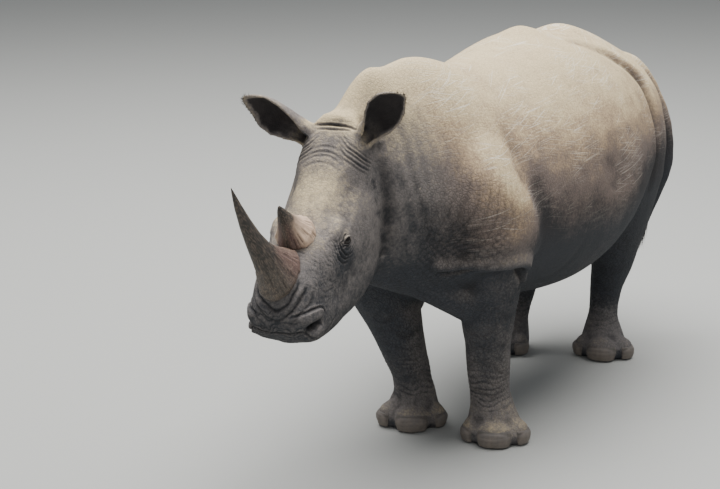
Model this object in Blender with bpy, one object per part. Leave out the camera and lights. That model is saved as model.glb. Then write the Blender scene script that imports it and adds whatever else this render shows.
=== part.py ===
"""White rhinoceros cow standing at rest, life size, with the head lowered.

The animal faces -Y, its left side is +X and it stands on z = 0. The flesh is first
modelled whole from lofted forms and fused, and then parted with thin cuts into the
pieces that a person names. Tail, ears, horns, eyes and toenails are forms of their own.
"""
from math import cos, pi, radians, sin, sqrt

import bmesh
import bpy
import numpy as np
from mathutils import Matrix, Vector

# ---- driving dimensions, in metres ---------------------------------------------
GAP = 0.0003                # clearance between pieces that meet
VOXEL = 0.012               # grid on which the lofted forms fuse
SMOOTH_ROUNDS = 6           # passes that soften the seams between the fused forms
FLESH_FACES = 3330          # triangles of the whole flesh before it is parted
RING_POINTS = 40            # points round a section of the body, the head or a leg
HORN_POINTS = 14
TAIL_POINTS = 10
FORM_SEGMENTS = (28, 16)    # round and up a ball that is fused into the flesh
EYE_SEGMENTS = (12, 7)

SIDES = {"left": 1, "right": -1}
WRIST_HEIGHT = 0.150        # a forefoot ends here
HOCK_HEIGHT = 0.440         # a thigh ends here and the hind leg begins
PASTERN_HEIGHT = 0.130      # a hind foot ends here

# The head's own frame: along runs to the nose, side to its left, rise out of the brow.
HEAD_ORIGIN = Vector((-0.136, -0.690, 1.474))
HEAD_YAW = radians(-5.0)
HEAD_PITCH = radians(42.5)
HEAD_ROLL = radians(1.5)

EYE_RADIUS = 0.020
EYE_PLACE = (0.452, 0.150, -0.131)

# base along and rise, half length and half width of the base
FRONT_HORN_BASE = (0.695, -0.030, 0.114, 0.080)
REAR_HORN_BASE = (0.515, -0.045, 0.084, 0.080)
# share of the base size kept at each (along, rise) on the way to the tip
FRONT_HORN = [
    (0.695, -0.030, 1.00), (0.700, 0.015, 0.86), (0.708, 0.070, 0.64), (0.716, 0.140, 0.475),
    (0.716, 0.230, 0.36), (0.708, 0.320, 0.26), (0.694, 0.410, 0.15), (0.674, 0.492, 0.03),
]
REAR_HORN = [
    (0.515, -0.045, 1.00), (0.517, -0.005, 0.86), (0.520, 0.040, 0.60), (0.521, 0.090, 0.36),
    (0.519, 0.130, 0.20), (0.516, 0.158, 0.05),
]

EAR_THICKNESS = 0.010
# base and tip in the head's frame, and the way the cup opens
EARS = {
    "left": ((0.035, 0.105, -0.055), (-0.063, 0.308, 0.108), (0.88, 0.25, 0.25)),
    "right": ((0.045, -0.105, -0.045), (0.046, -0.322, 0.180), (0.90, 0.15, 0.20)),
}
EAR_SPREAD = {"left": 1.0, "right": 1.12}      # times the half width of the leaf
EAR_SWING = {"left": 1.0, "right": -0.70}      # times the swing: the right leaf drops away
EAR_TRIM = {"left": 0.10, "right": 1.0}        # times the trim: the right leaf is slim below its tip
# share of the length, half width, half angle of the wall in degrees, depth of the back,
# how far the leaf swings towards the crown, and what is trimmed off its other edge
EAR_STATIONS = [
    (0.00, 0.042, 150, 0.040, 0.000, 0.000), (0.14, 0.040, 145, 0.038, 0.000, 0.000),
    (0.28, 0.048, 120, 0.040, 0.004, 0.000), (0.45, 0.066, 95, 0.040, 0.012, 0.008),
    (0.62, 0.078, 80, 0.036, 0.020, 0.028), (0.78, 0.070, 68, 0.026, 0.022, 0.046),
    (0.90, 0.042, 55, 0.014, 0.016, 0.026), (0.96, 0.020, 42, 0.006, 0.008, 0.008),
    (1.00, 0.005, 30, 0.001, 0.000, 0.000),
]
EAR_WALL_STEPS = 7

TOE_ANGLES = {"inner": -62, "middle": 0, "outer": 62}
# half width, half depth and half height of a toe, for the middle one and those beside it
TOE_RADII = {
    "inner": (0.062, 0.064, 0.060), "middle": (0.085, 0.070, 0.066), "outer": (0.064, 0.068, 0.062),
}
TOE_CENTRE_HEIGHT = 0.046
# foot centre x and y, heading in degrees towards the animal's left, reach of the toes
FEET = {
    "forefoot_left": (0.243, 0.022, 22, 0.095),
    "forefoot_right": (-0.163, 0.022, 26, 0.102),
    "hind_foot_left": (0.226, 1.335, 15, 0.096),
    "hind_foot_right": (-0.236, 1.165, 0, 0.094),
}
NAIL_PROUD = 0.005          # the nail stands out of the toe by this
NAIL_DEPTH = 0.007          # and reaches into it by this
NAIL_HALF_ANGLE = {"inner": 48, "middle": 60, "outer": 48}
NAIL_LOW = 0.004
NAIL_HIGH = {"inner": 0.070, "middle": 0.080, "outer": 0.070}
NAIL_SLOPE = 0.020          # the taller this is, the less a nail leans in at its top

# ---- forms: each row is a station that the surface runs through -------------------
# y, middle x, top z, widest z, low z, half width, fullness above, fullness below
TRUNK = [
    (-0.78, -0.140, 1.350, 1.18, 1.02, 0.08, 2.0, 2.0),
    (-0.70, -0.128, 1.462, 1.18, 0.92, 0.145, 1.8, 2.0),
    (-0.62, -0.110, 1.580, 1.17, 0.84, 0.18, 1.5, 1.9),
    (-0.54, -0.085, 1.678, 1.16, 0.79, 0.215, 1.4, 1.9),
    (-0.44, -0.060, 1.668, 1.12, 0.74, 0.275, 1.4, 1.9),
    (-0.28, -0.030, 1.690, 1.06, 0.68, 0.365, 1.4, 1.9),
    (-0.12, -0.010, 1.655, 1.03, 0.63, 0.42, 1.5, 2.0),
    (0.05, 0.000, 1.605, 1.02, 0.60, 0.435, 1.7, 2.1),
    (0.35, 0.000, 1.625, 1.02, 0.53, 0.495, 1.8, 2.1),
    (0.70, 0.000, 1.668, 1.00, 0.49, 0.54, 1.8, 2.1),
    (0.98, 0.005, 1.640, 1.02, 0.53, 0.52, 1.8, 2.1),
    (1.22, 0.020, 1.640, 1.06, 0.64, 0.46, 1.7, 2.1),
    (1.42, 0.050, 1.575, 1.10, 0.74, 0.395, 1.7, 2.0),
    (1.60, 0.085, 1.495, 1.14, 0.84, 0.31, 1.7, 2.0),
    (1.75, 0.115, 1.405, 1.18, 0.94, 0.20, 1.7, 2.0),
    (1.84, 0.130, 1.300, 1.18, 1.04, 0.09, 2.0, 2.0),
]
# z, x, y, half size across, half size fore and aft (left side; x is mirrored on the right)
SHOULDER = [
    (0.815, 0.225, -0.050, 0.150, 0.190),
    (0.835, 0.230, -0.055, 0.185, 0.225),
    (0.930, 0.240, -0.075, 0.210, 0.265),
    (1.100, 0.235, -0.110, 0.205, 0.270),
    (1.280, 0.195, -0.120, 0.165, 0.230),
    (1.420, 0.130, -0.100, 0.110, 0.160),
]
FORELEG = [
    (0.950, 0.230, -0.040, 0.130, 0.160),
    (0.820, 0.228, -0.040, 0.146, 0.172),
    (0.700, 0.222, -0.035, 0.136, 0.158),
    (0.580, 0.216, -0.025, 0.116, 0.132),
    (0.440, 0.213, -0.010, 0.098, 0.108),
    (0.320, 0.213, 0.000, 0.090, 0.098),
    (0.220, 0.217, 0.010, 0.083, 0.090),
    (0.150, 0.226, 0.018, 0.092, 0.098),
    (0.085, 0.236, 0.022, 0.112, 0.112),
    (0.030, 0.238, 0.025, 0.118, 0.118),
    (-0.005, 0.238, 0.028, 0.112, 0.112),
]
HIND_LEG = [
    (1.470, 0.150, 1.400, 0.080, 0.140),
    (1.350, 0.200, 1.390, 0.145, 0.240),
    (1.150, 0.225, 1.390, 0.215, 0.340),
    (0.950, 0.245, 1.390, 0.200, 0.345),
    (0.780, 0.245, 1.395, 0.170, 0.285),
    (0.640, 0.238, 1.410, 0.138, 0.215),
    (0.520, 0.228, 1.425, 0.110, 0.160),
    (0.420, 0.216, 1.425, 0.094, 0.125),
    (0.310, 0.202, 1.395, 0.076, 0.090),
    (0.200, 0.200, 1.370, 0.070, 0.082),
    (0.110, 0.210, 1.350, 0.095, 0.102),
    (0.040, 0.222, 1.345, 0.112, 0.112),
    (-0.005, 0.224, 1.345, 0.108, 0.108),
]
# Each leg's upper and lower height, and there its shift in x and y and its girth
LEANS = {
    "foreleg_left": (0.82, 0.15, (0.0, 0.0, 1.0), (0.0, 0.0, 1.0)),
    "foreleg_right": (0.60, 0.15, (-0.030, -0.065, 1.26), (0.075, 0.0, 0.98)),
    "hind_left": (0.85, 0.15, (0.0, 0.0, 1.0), (0.0, 0.0, 1.03)),
    "hind_right": (0.85, 0.15, (0.055, 0.0, 1.0), (-0.012, -0.170, 1.03)),
}
# along, crown, brow (half width, rise), cheek, jaw, throat, in the head's frame
HEAD = [
    (-0.08, -0.030, (0.080, -0.07), (0.140, -0.20), (0.120, -0.36), -0.44),
    (0.02, 0.012, (0.106, -0.020), (0.154, -0.18), (0.135, -0.40), -0.50),
    (0.15, -0.012, (0.114, -0.030), (0.160, -0.18), (0.142, -0.45), -0.540),
    (0.28, -0.036, (0.110, -0.060), (0.164, -0.19), (0.145, -0.47), -0.555),
    (0.42, -0.045, (0.106, -0.075), (0.166, -0.17), (0.138, -0.455), -0.535),
    (0.52, -0.025, (0.106, -0.060), (0.156, -0.16), (0.136, -0.438), -0.508),
    (0.62, -0.020, (0.098, -0.055), (0.142, -0.16), (0.131, -0.385), -0.450),
    (0.71, -0.005, (0.098, -0.045), (0.138, -0.16), (0.131, -0.334), -0.393),
    (0.78, -0.035, (0.096, -0.072), (0.140, -0.165), (0.127, -0.292), -0.336),
    (0.83, -0.080, (0.096, -0.105), (0.137, -0.170), (0.123, -0.251), -0.281),
    (0.856, -0.110, (0.078, -0.128), (0.116, -0.175), (0.096, -0.225), -0.246),
    (0.873, -0.140, (0.050, -0.150), (0.075, -0.178), (0.060, -0.202), -0.218),
]
# The fold of loose skin from the chest down the inner side of a foreleg: x, y, z, radius; the
# right one lies further back, over a leg that leans inwards
CHEST_FOLD = [
    (-0.020, -0.360, 0.815, 0.080), (0.065, -0.280, 0.750, 0.090), (0.140, -0.180, 0.685, 0.092),
    (0.190, -0.080, 0.610, 0.085), (0.215, -0.010, 0.520, 0.070),
]
CHEST_FOLD_BACK = {"left": 0.0, "right": 0.10}
# x, y, z, radius; the tail's root is part of the rump and a little stouter than the tail in it
TAIL_ROOT_STEPS = 4
TAIL_ROOT_GIRTH = 1.10
TAIL = [
    (0.07, 1.580, 1.405, 0.078),
    (0.14, 1.760, 1.370, 0.070),
    (0.21, 1.870, 1.240, 0.056),
    (0.27, 1.930, 1.060, 0.050),
    (0.290, 1.935, 0.870, 0.044),
    (0.262, 1.905, 0.740, 0.037),
    (0.238, 1.845, 0.620, 0.029),
    (0.232, 1.770, 0.505, 0.016),
]

# Cuts: outlines over x and z for the left legs and feet, over y and z for a thigh, the head
# and the neck, and over along and rise for the lower jaw, all counter-clockwise. The right
# forefoot stands under the body, so its cut begins a little beyond the midline.
FLANK = 0.75
FOREFOOT_INNER = {"left": 0.03, "right": -0.03}
HIND_FOOT_INNER = 0.004
HIND_LEG_INNER = 0.03
FORELEG_OUTLINE = [(0.045, 0.0), (FLANK, 0.0), (FLANK, 0.826), (0.10, 0.816), (0.045, 0.62)]
THIGH_OUTLINE = [(1.02, 0.0), (2.20, 0.0), (2.20, 1.05), (1.75, 0.98), (1.15, 0.84), (1.02, 0.62)]
HEAD_OUTLINE = [
    (-2.0, 0.40), (-0.52, 0.40), (-0.52, 0.93), (-0.66, 1.38), (-0.63, 1.56), (-0.9, 2.0), (-2.0, 2.0),
]
NECK_OUTLINE = [(-2.0, 0.40), (-0.58, 0.56), (-0.02, 1.75), (-0.3, 2.0), (-2.0, 2.0)]
JAW_OUTLINE = [(0.58, -0.70), (1.10, -0.70), (1.10, -0.195), (0.88, -0.200), (0.65, -0.262)]
# How far each cut reaches the other way: along y for legs and feet, along x for the rest
FOREFOOT_REACH = (-0.45, 0.45)
FORELEG_REACH = {"left": (-0.215, 0.14), "right": (-0.33, 0.12)}
HIND_REACH = (0.9, 2.0)
HEAD_REACH = (-0.8, 0.8)
JAW_REACH = (-0.3, 0.3)
GROUND_OUTLINE = [(-3.0, -1.0), (3.0, -1.0), (3.0, 0.0), (-3.0, 0.0)]
GROUND_REACH = (-3.0, 3.0)

COLOURS = {
    "hide": ((0.30, 0.26, 0.22), 0.85),
    "ear": ((0.26, 0.22, 0.19), 0.85),
    "horn": ((0.12, 0.10, 0.085), 0.6),
    "nail": ((0.20, 0.17, 0.14), 0.6),
    "eye": ((0.015, 0.01, 0.008), 0.12),
}


# ---- scene and materials -----------------------------------------------------------
def clear_scene():
    for item in list(bpy.data.objects):
        bpy.data.objects.remove(item, do_unlink=True)


def make_material(name):
    colour, roughness = COLOURS[name]
    made = bpy.data.materials.new(name)
    made.use_nodes = True
    shader = made.node_tree.nodes["Principled BSDF"]
    shader.inputs["Base Color"].default_value = (*colour, 1.0)
    shader.inputs["Roughness"].default_value = roughness
    shader.inputs["Metallic"].default_value = 0.0
    return made


# ---- helpers -------------------------------------------------------------------------
def link(name, bm):
    """Turn a bmesh into a linked object whose normals point outward."""
    bmesh.ops.recalc_face_normals(bm, faces=bm.faces)
    mesh = bpy.data.meshes.new(name)
    bm.to_mesh(mesh)
    bm.free()
    made = bpy.data.objects.new(name, mesh)
    bpy.context.scene.collection.objects.link(made)
    return made


def settle(item):
    """Apply the modifiers of an object, so that it becomes a plain mesh."""
    graph = bpy.context.evaluated_depsgraph_get()
    mesh = bpy.data.meshes.new_from_object(item.evaluated_get(graph))
    item.modifiers.clear()
    item.data = mesh
    return item


def join(name, items):
    """One object that holds the meshes of several, each still a shell of its own."""
    bm = bmesh.new()
    for item in items:
        bm.from_mesh(item.data)
        bpy.data.objects.remove(item, do_unlink=True)
    return link(name, bm)


def curve_through(points, steps, closed=False):
    """Catmull-Rom curve through the rows of points, with so many steps between rows."""
    rows = np.array(points, dtype=float)
    count = len(rows)
    made = []
    for span in range(count if closed else count - 1):
        places = [span - 1, span, span + 1, span + 2]
        if closed:
            places = [place % count for place in places]
        before, here, there, after = rows[np.clip(places, 0, count - 1)]
        for step in range(steps):
            t = step / steps
            made.append(0.5 * (2 * here + (there - before) * t
                               + (2 * before - 5 * here + 4 * there - after) * t ** 2
                               + (3 * here - before - 3 * there + after) * t ** 3))
    if not closed:
        made.append(rows[-1])
    return np.array(made)


def loft(name, rings):
    """Closed skin over a row of rings that all have the same number of points."""
    bm = bmesh.new()
    loops = [[bm.verts.new(point) for point in ring] for ring in rings]
    for low, high in zip(loops, loops[1:]):
        for k in range(len(low)):
            after = (k + 1) % len(low)
            bm.faces.new((low[k], low[after], high[after], high[k]))
    bm.faces.new(loops[0])
    bm.faces.new(loops[-1])
    return link(name, bm)


def power(value, fullness):
    """Signed power that swells or pinches an ellipse: 2 keeps it, less makes it peaked."""
    return np.sign(value) * abs(value) ** (2.0 / fullness)


def round_turns(count):
    return [2 * pi * k / count for k in range(count)]


# ---- lofted forms ----------------------------------------------------------------------
def barrel(name, stations):
    """Loft of upright cross sections, each with its own height above and below the widest line."""
    rings = []
    for y, x, top, wide, low, half, above, below in curve_through(stations, 4):
        ring = []
        for turn in round_turns(RING_POINTS):
            reach, fullness = (top - wide, above) if sin(turn) >= 0 else (wide - low, below)
            ring.append((x + half * power(cos(turn), fullness), y, wide + reach * power(sin(turn), fullness)))
        rings.append(ring)
    return loft(name, rings)


def column(name, stations, side, lean=None):
    """Loft of level cross sections; side is 1 on the left and -1 on the right."""
    rings = []
    for z, x, y, across, fore in curve_through(stations, 4):
        dx, dy, girth = lean_at(z, *lean) if lean else (0.0, 0.0, 1.0)
        rings.append([(side * x + dx + girth * across * cos(turn), y + dy + girth * fore * sin(turn), z)
                      for turn in round_turns(RING_POINTS)])
    return loft(name, rings)


def lean_at(z, upper, lower, upper_values, lower_values):
    """Shift and girth of a leg's section at height z, blended between its upper and lower ones."""
    share = min(max((upper - z) / (upper - lower), 0.0), 1.0)
    return [a + (b - a) * share for a, b in zip(upper_values, lower_values)]


def tube(name, rows, girth=1.0):
    """Round loft along a path; each row is x, y, z and radius."""
    rings = []
    for index, (x, y, z, radius) in enumerate(rows):
        ahead = Vector(rows[min(index + 1, len(rows) - 1)][:3] - rows[max(index - 1, 0)][:3]).normalized()
        over = ahead.cross(Vector((1, 0, 0))).normalized()
        across = over.cross(ahead)
        middle = Vector((x, y, z))
        rings.append([middle + girth * float(radius) * (cos(turn) * across + sin(turn) * over)
                      for turn in round_turns(TAIL_POINTS)])
    return loft(name, rings)


def ellipsoid(name, centre, radii, turn, segments):
    """Ball stretched to three radii and turned by a rotation matrix."""
    bm = bmesh.new()
    bmesh.ops.create_uvsphere(bm, u_segments=segments[0], v_segments=segments[1], radius=1.0)
    place = Matrix.Translation(centre) @ turn @ Matrix.Diagonal((*radii, 1.0))
    bmesh.ops.transform(bm, matrix=place, verts=bm.verts)
    return link(name, bm)


# ---- head ----------------------------------------------------------------------------------
def head_matrix():
    """Places the head's frame in the world: along, side and rise are its X, Y and Z."""
    facing = Matrix.Rotation(-pi / 2 - HEAD_YAW, 4, "Z")
    nod = Matrix.Rotation(HEAD_PITCH, 4, "Y")
    tilt = Matrix.Rotation(HEAD_ROLL, 4, "X")
    return Matrix.Translation(HEAD_ORIGIN) @ facing @ nod @ tilt


HEAD_PLACE = head_matrix()


def head_form():
    """Loft of the head's cross sections along its own axis."""
    flat = [(a, crown, *brow, *cheek, *jaw, throat) for a, crown, brow, cheek, jaw, throat in HEAD]
    rings = []
    for a, crown, brow, brow_n, cheek, cheek_n, jaw, jaw_n, throat in curve_through(flat, 4):
        half = [(brow, brow_n), (cheek, cheek_n), (jaw, jaw_n)]
        corners = [(0.0, crown), *half, (0.0, throat), *((-w, n) for w, n in reversed(half))]
        rings.append([HEAD_PLACE @ Vector((a, w, n)) for w, n in curve_through(corners, 5, closed=True)])
    return loft("head_form", rings)


def head_ball(name, place, radii):
    """Ellipsoid given by its place and radii in the head's frame."""
    return ellipsoid(name, HEAD_PLACE @ Vector(place), radii, HEAD_PLACE.to_3x3().to_4x4(), FORM_SEGMENTS)


def head_details():
    """Brow ridges, nostril swellings and the roll of skin behind the crown."""
    made = []
    for side in SIDES.values():
        made.append(head_ball("brow_ridge", (0.440, side * 0.118, -0.100), (0.060, 0.036, 0.032)))
        made.append(head_ball("nostril_pad", (0.775, side * 0.112, -0.165), (0.060, 0.034, 0.055)))
    made.append(head_ball("crown_roll", (-0.018, 0.006, 0.000), (0.030, 0.078, 0.030)))
    return made


def horn(name, base, path):
    """Curved cone over an oval base, lofted along its path in the head's frame."""
    half_length, half_width = base[2], base[3]
    rings = []
    for along, rise, share in path:
        rings.append([HEAD_PLACE @ Vector((along + half_length * share * cos(turn),
                                           half_width * share * sin(turn), rise))
                      for turn in round_turns(HORN_POINTS)])
    return loft(name, rings)


def ear(name, side, base, tip, facing):
    """Cupped leaf: a rolled wall that opens from a tube at the base to a pointed tip."""
    base, tip, facing = Vector(base), Vector(tip), Vector(facing)
    axis = (tip - base).normalized()
    facing = (facing - facing.dot(axis) * axis).normalized()
    across = axis.cross(facing)
    crownward = across if across.y * base.y < 0 else -across
    bm = bmesh.new()
    rows = []
    for share, half, angle, depth, swing, trim in EAR_STATIONS:
        spread = radians(angle)
        trim *= EAR_TRIM[side] / 2
        radius = (half * EAR_SPREAD[side] - trim) / (sin(spread) if spread < pi / 2 else 1.0)
        middle = (base + (tip - base) * share + (radius - depth) * facing
                  + (swing * EAR_SWING[side] + trim) * crownward)
        row = []
        for k in range(EAR_WALL_STEPS + 1):
            turn = spread * (2 * k / EAR_WALL_STEPS - 1)
            row.append(bm.verts.new(HEAD_PLACE @ (middle + radius * (sin(turn) * across - cos(turn) * facing))))
        rows.append(row)
    for low, high in zip(rows, rows[1:]):
        for k in range(EAR_WALL_STEPS):
            bm.faces.new((low[k], low[k + 1], high[k + 1], high[k]))
    made = link(name, bm)
    wall = made.modifiers.new("wall", "SOLIDIFY")
    wall.thickness = EAR_THICKNESS
    wall.offset = 0.0
    return settle(made)


# ---- feet -----------------------------------------------------------------------------------
def toe_frame(foot, toe):
    """Matrix of a toe: X across it, -Y out of the foot, at its centre."""
    x, y, heading, reach = FEET[foot]
    outward = 1 if foot.endswith("left") else -1
    turn = radians(heading + outward * TOE_ANGLES[toe])
    centre = Vector((x + reach * sin(turn), y - reach * cos(turn), TOE_CENTRE_HEIGHT))
    return Matrix.Translation(centre) @ Matrix.Rotation(turn, 4, "Z")


def toe_form(foot, toe):
    frame = toe_frame(foot, toe)
    return ellipsoid("toe_form", frame.translation, TOE_RADII[toe], frame.to_3x3().to_4x4(), FORM_SEGMENTS)


def nail(name, foot, toe, extra=0.0):
    """Broad hoof plate wrapped round the front of a toe, grown by extra on all sides."""
    frame = toe_frame(foot, toe)
    across, fore, high = TOE_RADII[toe]
    half_angle = radians(NAIL_HALF_ANGLE[toe]) + extra / across
    heights = np.linspace(NAIL_LOW - extra, NAIL_HIGH[toe] + extra, 3)
    turns = np.linspace(-half_angle, half_angle, 6)
    bm = bmesh.new()
    walls = []
    for grow in (NAIL_PROUD + extra, -NAIL_DEPTH - extra):
        rows = []
        for z in heights:
            bulge = sqrt(1.0 - ((z - TOE_CENTRE_HEIGHT) / (high + NAIL_SLOPE)) ** 2)
            rows.append([bm.verts.new(frame @ Vector(((across + grow) * bulge * sin(turn),
                                                      -(fore + grow) * bulge * cos(turn),
                                                      z - TOE_CENTRE_HEIGHT))) for turn in turns])
        walls.append(rows)
    outer, inner = walls
    for rows in walls:
        for low, above in zip(rows, rows[1:]):
            for k in range(len(low) - 1):
                bm.faces.new((low[k], low[k + 1], above[k + 1], above[k]))
    for row in (0, -1):
        for k in range(len(turns) - 1):
            bm.faces.new((outer[row][k], outer[row][k + 1], inner[row][k + 1], inner[row][k]))
    for end in (0, -1):
        for row in range(len(heights) - 1):
            bm.faces.new((outer[row][end], outer[row + 1][end], inner[row + 1][end], inner[row][end]))
    return link(name, bm)


# ---- flesh ---------------------------------------------------------------------------------------
def make_flesh():
    """All soft forms fused to one body, smoothed and thinned to few faces."""
    tail_root = curve_through(TAIL, 2)[:TAIL_ROOT_STEPS + 1]
    forms = [barrel("trunk_form", TRUNK), head_form(), *head_details()]
    forms.append(tube("tail_root", tail_root, TAIL_ROOT_GIRTH))
    for name, side in SIDES.items():
        forms.append(column("shoulder_form", SHOULDER, side))
        forms.append(column("foreleg_form", FORELEG, side, LEANS["foreleg_" + name]))
        forms.append(column("hind_form", HIND_LEG, side, LEANS["hind_" + name]))
    forms += [toe_form(foot, toe) for foot in FEET for toe in TOE_ANGLES]
    for name, side in SIDES.items():
        fold = [(side * x, y + CHEST_FOLD_BACK[name], z, radius) for x, y, z, radius in CHEST_FOLD]
        forms.append(tube("chest_fold", curve_through(fold, 3)))
    flesh = join("flesh", forms)
    fuse = flesh.modifiers.new("fuse", "REMESH")
    fuse.mode = "VOXEL"
    fuse.voxel_size = VOXEL
    soften = flesh.modifiers.new("soften", "SMOOTH")
    soften.iterations = SMOOTH_ROUNDS
    settle(flesh)
    thin = flesh.modifiers.new("thin", "DECIMATE")
    thin.ratio = FLESH_FACES / (2 * len(flesh.data.polygons))
    return settle(flesh)


def cut(item, tool, operation):
    """Boolean of one object with another, applied at once; the tool is kept."""
    boolean = item.modifiers.new("cut", "BOOLEAN")
    boolean.operation = operation
    boolean.object = tool
    return settle(item)


def copy_of(item, name):
    made = bpy.data.objects.new(name, item.data.copy())
    bpy.context.scene.collection.objects.link(made)
    return made


def grown(item):
    """Copy of an object, swollen by the gap, that cuts its neighbours clear of it."""
    made = copy_of(item, item.name + "_grown")
    swell = made.modifiers.new("swell", "DISPLACE")
    swell.strength = GAP
    swell.mid_level = 0.0
    return settle(made)


def remove(*items):
    for item in items:
        bpy.data.objects.remove(item, do_unlink=True)


def prism(name, outline, low, high, plane, grow=0.0, place=Matrix()):
    """Straight block over an outline in the XZ or YZ plane, grown by so much on every side."""
    points = [Vector(point) for point in outline]
    spread = []
    for before, here, after in zip(points[-1:] + points[:-1], points, points[1:] + points[:1]):
        into, out = (here - before).normalized(), (after - here).normalized()
        normals = [Vector((into.y, -into.x)), Vector((out.y, -out.x))]
        spread.append(here + grow * (normals[0] + normals[1]) / (1 + normals[0].dot(normals[1])))
    bm = bmesh.new()
    ends = []
    for depth in (low - grow, high + grow):
        if plane == "XZ":
            ends.append([bm.verts.new(place @ Vector((p.x, depth, p.y))) for p in spread])
        else:
            ends.append([bm.verts.new(place @ Vector((depth, p.x, p.y))) for p in spread])
    for k in range(len(points)):
        after = (k + 1) % len(points)
        bm.faces.new((ends[0][k], ends[0][after], ends[1][after], ends[1][k]))
    bm.faces.new(ends[0])
    bm.faces.new(ends[1])
    return link(name, bm)


def mirrored(outline, side):
    """Outline over x and z for one side, kept in counter-clockwise order."""
    flipped = [(side * x, z) for x, z in outline]
    return flipped if side == 1 else flipped[::-1]


def slab(inner, height):
    """Outline over x and z of all that lies below a height and outside an inner limit."""
    return [(inner, -0.1), (FLANK, -0.1), (FLANK, height), (inner, height)]


def part_blocks():
    """Name and block arguments of every piece that is parted from the flesh, in cutting order."""
    blocks = []
    for name, side in SIDES.items():
        half = sorted((side * GAP, side * FLANK))
        hind_foot = mirrored(slab(HIND_FOOT_INNER, PASTERN_HEIGHT), side)
        hind_leg = mirrored(slab(HIND_LEG_INNER, HOCK_HEIGHT), side)
        forefoot = mirrored(slab(FOREFOOT_INNER[name], WRIST_HEIGHT), side)
        blocks.append(("hind_foot_" + name, (hind_foot, *HIND_REACH, "XZ")))
        blocks.append(("hind_leg_" + name, (hind_leg, *HIND_REACH, "XZ")))
        blocks.append(("thigh_" + name, (THIGH_OUTLINE, *half, "YZ")))
        blocks.append(("forefoot_" + name, (forefoot, *FOREFOOT_REACH, "XZ")))
        blocks.append(("foreleg_" + name, (mirrored(FORELEG_OUTLINE, side), *FORELEG_REACH[name], "XZ")))
    blocks.append(("lower_jaw", (JAW_OUTLINE, *JAW_REACH, "XZ")))
    blocks.append(("head", (HEAD_OUTLINE, *HEAD_REACH, "YZ")))
    blocks.append(("neck", (NECK_OUTLINE, *HEAD_REACH, "YZ")))
    return blocks


def part_flesh(flesh):
    """Part the flesh with thin cuts; what is left of it is the trunk."""
    pieces = {}
    for name, shape in part_blocks():
        place = HEAD_PLACE if name == "lower_jaw" else Matrix()
        block = prism("block", *shape, place=place)
        wide_block = prism("wide_block", *shape, grow=GAP, place=place)
        pieces[name] = cut(copy_of(flesh, name), block, "INTERSECT")
        cut(flesh, wide_block, "DIFFERENCE")
        remove(block, wide_block)
    flesh.name = "trunk"
    pieces["trunk"] = flesh
    return pieces


def centre_on_origin():
    """Shift everything so that the middle of the animal's box stands over the origin."""
    items = list(bpy.context.scene.objects)
    corners = np.array([vertex.co for item in items for vertex in item.data.vertices])
    middle = (corners.min(axis=0) + corners.max(axis=0)) / 2
    for item in items:
        item.data.transform(Matrix.Translation((-middle[0], -middle[1], 0.0)))


def main():
    clear_scene()
    materials = {name: make_material(name) for name in COLOURS}
    flesh = make_flesh()
    ground = prism("ground", GROUND_OUTLINE, *GROUND_REACH, "XZ")
    cut(flesh, ground, "DIFFERENCE")
    clearance = grown(flesh)

    pieces = part_flesh(flesh)
    looks = {name: "hide" for name in pieces}

    pieces["tail"] = tube("tail", curve_through(TAIL, 2)[TAIL_ROOT_STEPS - 1:])
    for side, (base, tip, facing) in EARS.items():
        pieces["ear_" + side] = ear("ear_" + side, side, base, tip, facing)
    pieces["front_horn"] = horn("front_horn", FRONT_HORN_BASE, FRONT_HORN)
    pieces["rear_horn"] = horn("rear_horn", REAR_HORN_BASE, REAR_HORN)
    for name in ("tail", "ear_left", "ear_right", "front_horn", "rear_horn"):
        cut(pieces[name], clearance, "DIFFERENCE")
        looks[name] = name.split("_")[-1] if "horn" in name else name.split("_")[0]
    looks["tail"] = "hide"
    nose_clearance = grown(pieces["front_horn"])
    cut(pieces["rear_horn"], nose_clearance, "DIFFERENCE")

    for foot in FEET:
        for toe in TOE_ANGLES:
            name = "nail_" + foot + "_" + toe
            pieces[name] = nail(name, foot, toe)
            looks[name] = "nail"
            bed = nail("bed", foot, toe, GAP)
            cut(pieces[foot], bed, "DIFFERENCE")
            remove(bed)

    for side, sign in SIDES.items():
        along, out, rise = EYE_PLACE
        centre = HEAD_PLACE @ Vector((along, sign * out, rise))
        name = "eye_" + side
        pieces[name] = ellipsoid(name, centre, (EYE_RADIUS,) * 3, Matrix(), EYE_SEGMENTS)
        looks[name] = "eye"
        socket = ellipsoid("socket", centre, (EYE_RADIUS + GAP,) * 3, Matrix(), EYE_SEGMENTS)
        cut(pieces["head"], socket, "DIFFERENCE")
        remove(socket)

    remove(ground, clearance, nose_clearance)
    for name, item in pieces.items():
        item.data.materials.clear()
        item.data.materials.append(materials[looks[name]])
    centre_on_origin()


main()
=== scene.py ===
"""White rhinoceros cow, life size, standing at rest with her head lowered.

One hide covers the animal from lips to tail. Horns, eyes, toenails and the stiff hair of
ears and tail are pieces of their own. She faces -Y, her left side is +X, and lengths are
in metres.
"""
from functools import partial
from math import cos, pi, radians, sin

import bpy
import numpy as np
from mathutils import Matrix, Vector
from mathutils.bvhtree import BVHTree
from mathutils.geometry import barycentric_transform


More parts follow.
